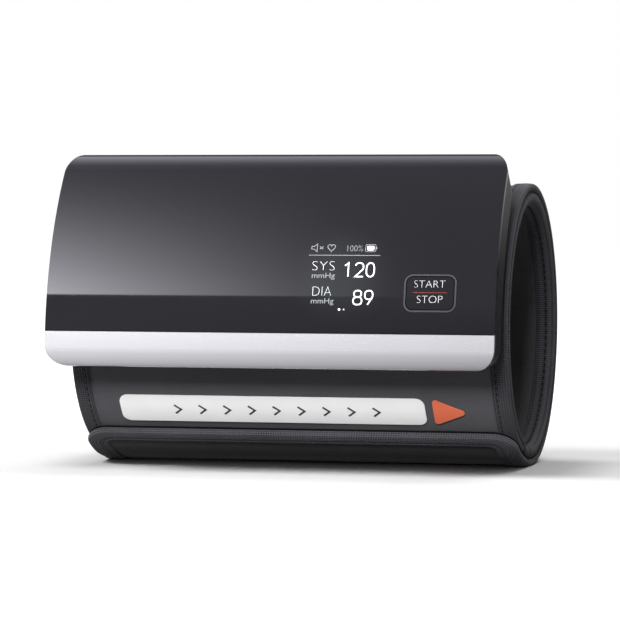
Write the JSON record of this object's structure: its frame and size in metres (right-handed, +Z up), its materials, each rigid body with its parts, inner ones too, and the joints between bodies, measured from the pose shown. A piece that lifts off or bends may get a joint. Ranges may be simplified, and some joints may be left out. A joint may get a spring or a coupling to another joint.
{
  "type": "blood pressure monitor",
  "caption": "One-piece upper-arm blood pressure monitor: a bowed slab unit with a dark lens, a silver chin and a start key, fixed on a round preformed fabric cuff with a lapped flap.",
  "frame": {"origin": "middle of the bounding box at the bottom line on which the round cuff stands", "axes": "+X to the right along the arm axis, +Y from the unit towards the back of the cuff, +Z up"},
  "size_m": [0.1526, 0.1161, 0.1057],
  "materials": {
    "lens_plastic": "dark polished lens",
    "silver_paint": "satin silver paint on plastic",
    "shell_plastic": "fine matte grain",
    "key_plastic": "dark polished key",
    "ring_metal": "brushed thin ring",
    "display_black": "unlit display face",
    "cover_fabric": "brushed loop fabric",
    "flap_fabric": "brushed loop fabric",
    "binding_fabric": "ribbed woven tape",
    "lining_fabric": "fine woven nylon",
    "hook_fabric": "hook tape",
    "label_print": "white transfer print",
    "arrow_print": "orange transfer print",
    "bladder_film": "soft film",
    "curler_plastic": "natural moulded",
    "inner_plastic": "natural moulded",
    "chip_plastic": "moulded",
    "board_green": "solder mask",
    "screw_steel": "plated",
    "motor_steel": "plated",
    "cell_foil": "foil pouch",
    "tube_rubber": "silicone"
  },
  "bodies": {
    "monitor": {"air_bladder": "bladder_film", "air_manifold": "inner_plastic", "air_tube": "tube_rubber", "anchor_plate": "inner_plastic", "anchor_screws": "screw_steel", "arrow_patch": "arrow_print", "battery_cell": "cell_foil", "board_chips": "chip_plastic", "board_screws": "screw_steel", "buzzer": "chip_plastic", "charge_socket": "screw_steel", "chin_trim": "silver_paint", "cover_binding_left": "binding_fabric", "cover_binding_right": "binding_fabric", "cuff_cover": "cover_fabric", "cuff_curler": "curler_plastic", "cuff_port": "inner_plastic", "display_bracket": "inner_plastic", "display_panel": "display_black", "front_lens": "lens_plastic", "front_shell": "shell_plastic", "housing_screws": "screw_steel", "key_ring": "ring_metal", "label_strip": "label_print", "main_board": "board_green", "pressure_sensor": "chip_plastic", "pump_bands": "tube_rubber", "pump_head": "inner_plastic", "pump_motor": "motor_steel", "rear_shell": "shell_plastic", "sensor_tube": "tube_rubber", "sleeve_binding_left": "binding_fabric", "sleeve_binding_right": "binding_fabric", "sleeve_lining": "lining_fabric", "sleeve_ply": "lining_fabric", "switch_body": "chip_plastic", "valve_body": "motor_steel"},
    "flap": {"cuff_flap": "flap_fabric", "flap_binding": "binding_fabric", "hook_patch": "hook_fabric"},
    "key": {"start_key": "key_plastic"},
    "plunger": {"switch_plunger": "inner_plastic"},
    "rotor": {"pump_rotor": "motor_steel"},
    "valve": {"valve_plunger": "motor_steel"}
  },
  "joints": [
    {"name": "flap_peel", "type": "hinge", "parent": "monitor", "child": "flap", "pos_m": [0.00125, 0.00154, 0.00033], "axis": [1, 0, 0], "range_deg": [0, 75]},
    {"name": "key_press", "type": "slide", "parent": "monitor", "child": "key", "axis": [0, 0.9703, -0.2419], "range_m": [0, 0.0005], "stiffness_N_per_m": 600, "springref_m": -0.001},
    {"name": "plunger_press", "type": "slide", "parent": "monitor", "child": "plunger", "axis": [0, 0.9703, -0.2419], "range_m": [0, 0.0005]},
    {"name": "rotor_spin", "type": "hinge", "parent": "monitor", "child": "rotor", "pos_m": [-0.05, -0.03051, 0.08831], "axis": [1, 0, 0], "continuous": true},
    {"name": "valve_slide", "type": "slide", "parent": "monitor", "child": "valve", "axis": [1, 0, 0], "range_m": [0, 0.0008], "stiffness_N_per_m": 200, "springref_m": -0.001}
  ],
  "couplings": [
    {"joint": "plunger_press", "follows": "key_press", "ratio": 1}
  ]
}
